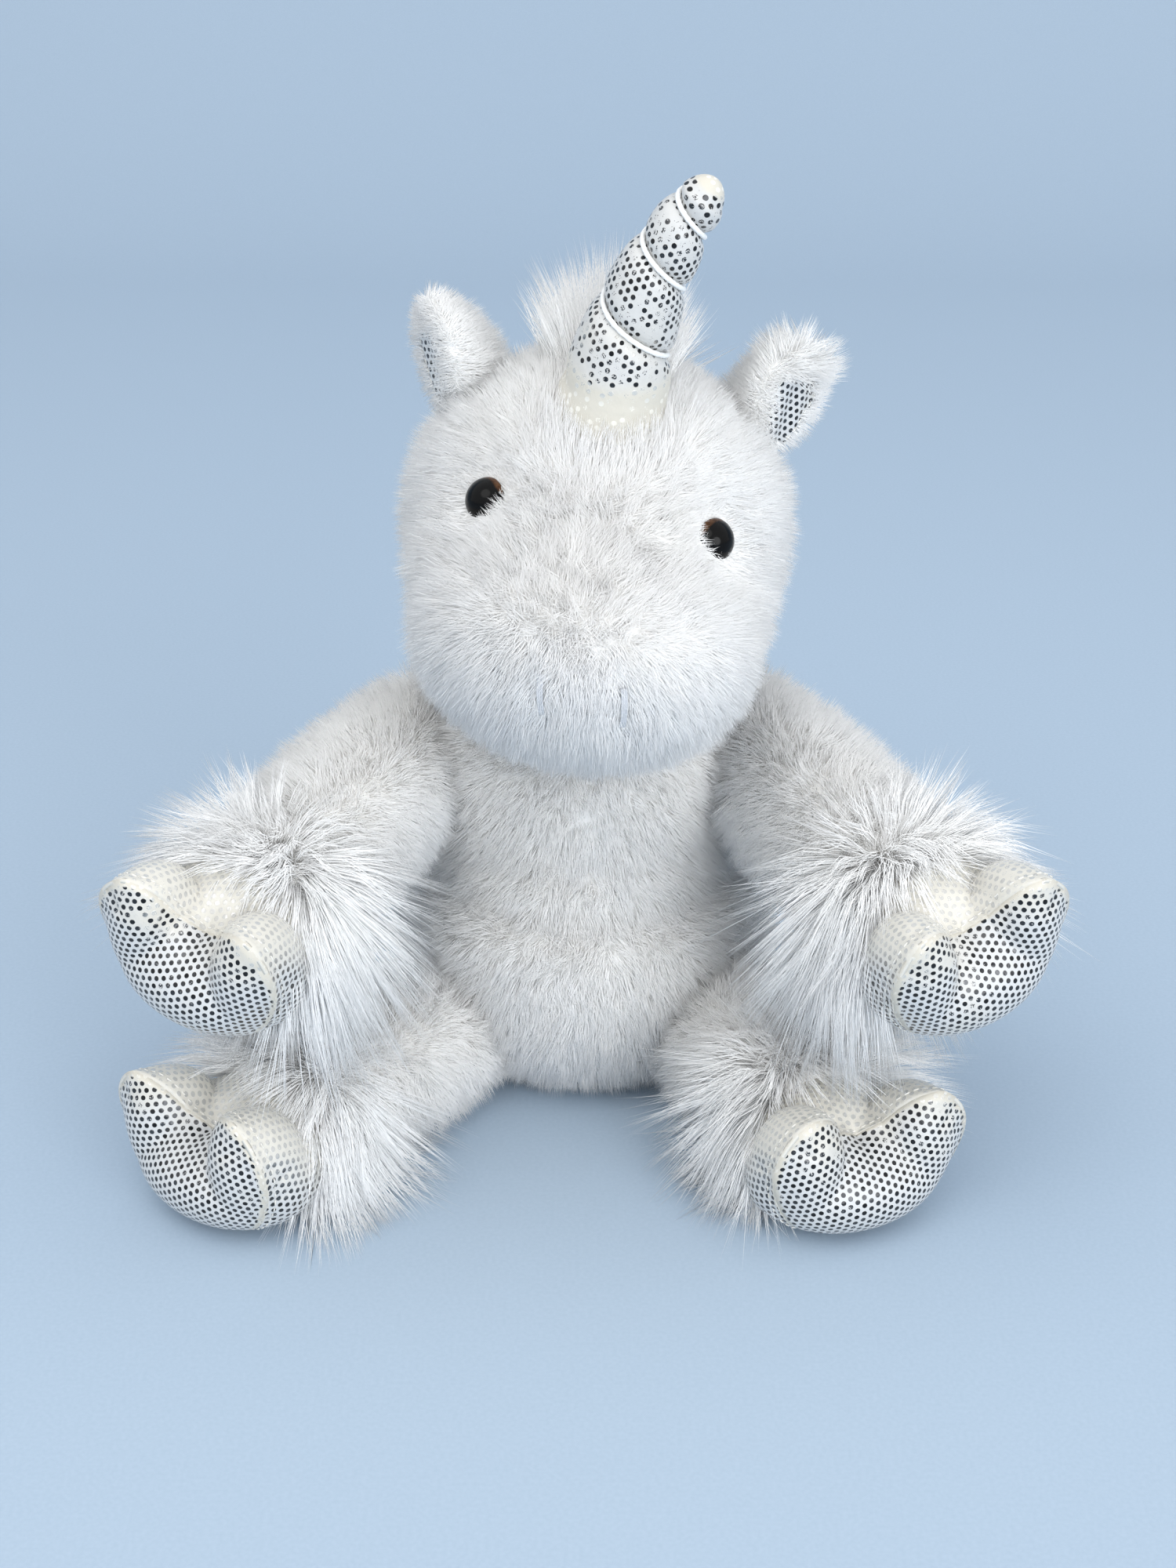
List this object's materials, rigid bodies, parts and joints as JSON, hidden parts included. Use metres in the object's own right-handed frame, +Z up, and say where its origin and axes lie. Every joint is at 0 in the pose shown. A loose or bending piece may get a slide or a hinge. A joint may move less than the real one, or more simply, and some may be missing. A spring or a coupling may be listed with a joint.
{
  "type": "plush unicorn",
  "caption": "Seated stuffed unicorn of white plush with a corded, dotted satin horn, lined ears, jointed soft limbs, long-pile cuffs and cloven satin hooves.",
  "frame": {"origin": "middle of the flat seat, on the surface the toy sits on", "axes": "+Z up, the face looks along -Y, the toy's left side is +X"},
  "size_m": [0.2336, 0.196, 0.2582],
  "materials": {
    "plush": "white short-pile plush",
    "long_plush": "white long-pile plush",
    "dotted_satin": "cream satin with silver foil dots",
    "stuffing": "white polyester fibre",
    "pellet_cloth": "woven bag of plastic pellets",
    "cord": "white twisted cord",
    "thread": "pale grey embroidery thread",
    "eye": "polished dark brown",
    "washer": "moulded, unpainted"
  },
  "bodies": {
    "torso": {"torso_skin": "plush", "torso_stuffing": "stuffing", "pellet_bag": "pellet_cloth"},
    "tail": {"tail": "long_plush"},
    "head": {"head_skin": "plush", "head_stuffing": "stuffing", "mane": "long_plush", "nostril_stitches": "thread", "horn_cover": "dotted_satin", "horn_stuffing": "stuffing", "horn_cord": "cord", "left_eye": "eye", "left_eye_washer": "washer", "right_eye": "eye", "right_eye_washer": "washer"},
    "left_ear": {"left_ear_back": "plush", "left_ear_lining": "dotted_satin"},
    "right_ear": {"right_ear_back": "plush", "right_ear_lining": "dotted_satin"},
    "left_arm": {"left_arm_sleeve": "plush", "left_arm_stuffing": "stuffing", "left_arm_cuff": "long_plush", "left_arm_hoof_upper": "dotted_satin", "left_arm_hoof_sole": "dotted_satin", "left_arm_hoof_stuffing": "stuffing"},
    "right_arm": {"right_arm_sleeve": "plush", "right_arm_stuffing": "stuffing", "right_arm_cuff": "long_plush", "right_arm_hoof_upper": "dotted_satin", "right_arm_hoof_sole": "dotted_satin", "right_arm_hoof_stuffing": "stuffing"},
    "left_leg": {"left_leg_sleeve": "plush", "left_leg_stuffing": "stuffing", "left_leg_cuff": "long_plush", "left_leg_hoof_upper": "dotted_satin", "left_leg_hoof_sole": "dotted_satin", "left_leg_hoof_stuffing": "stuffing"},
    "right_leg": {"right_leg_sleeve": "plush", "right_leg_stuffing": "stuffing", "right_leg_cuff": "long_plush", "right_leg_hoof_upper": "dotted_satin", "right_leg_hoof_sole": "dotted_satin", "right_leg_hoof_stuffing": "stuffing"}
  },
  "joints": [
    {"name": "head_turn", "type": "hinge", "parent": "torso", "child": "head", "pos_m": [0, 0, 0.1134], "axis": [0, 0, 1], "range_deg": [-15, 15], "stiffness_Nm_per_rad": 0.6},
    {"name": "left_ear_flop", "type": "hinge", "parent": "head", "child": "left_ear", "pos_m": [0.04566, 0.00023, 0.18777], "axis": [0.6055, 0.7217, -0.3354], "range_deg": [-10, 15], "stiffness_Nm_per_rad": 0.02},
    {"name": "right_ear_flop", "type": "hinge", "parent": "head", "child": "right_ear", "pos_m": [-0.03313, 0.00032, 0.19642], "axis": [0.3376, -0.9276, 0.1601], "range_deg": [-10, 15], "stiffness_Nm_per_rad": 0.02},
    {"name": "left_arm_lift", "type": "hinge", "parent": "torso", "child": "left_arm", "pos_m": [0.04842, -0.00692, 0.09455], "axis": [-0.8746, -0.4848, 0], "range_deg": [0, 30], "stiffness_Nm_per_rad": 0.25},
    {"name": "right_arm_lift", "type": "hinge", "parent": "torso", "child": "right_arm", "pos_m": [-0.04842, -0.00692, 0.09455], "axis": [-0.8746, 0.4848, 0], "range_deg": [0, 30], "stiffness_Nm_per_rad": 0.25},
    {"name": "left_leg_swing", "type": "hinge", "parent": "torso", "child": "left_leg", "pos_m": [0.03446, -0.01591, 0.019], "axis": [0, 0, 1], "range_deg": [-10, 12], "stiffness_Nm_per_rad": 0.3},
    {"name": "right_leg_swing", "type": "hinge", "parent": "torso", "child": "right_leg", "pos_m": [-0.03894, -0.02596, 0.019], "axis": [0, 0, -1], "range_deg": [-10, 12], "stiffness_Nm_per_rad": 0.3},
    {"name": "tail_wag", "type": "hinge", "parent": "torso", "child": "tail", "pos_m": [0, 0.04779, 0.03739], "axis": [0, 0, 1], "range_deg": [-25, 25], "stiffness_Nm_per_rad": 0.03}
  ]
}
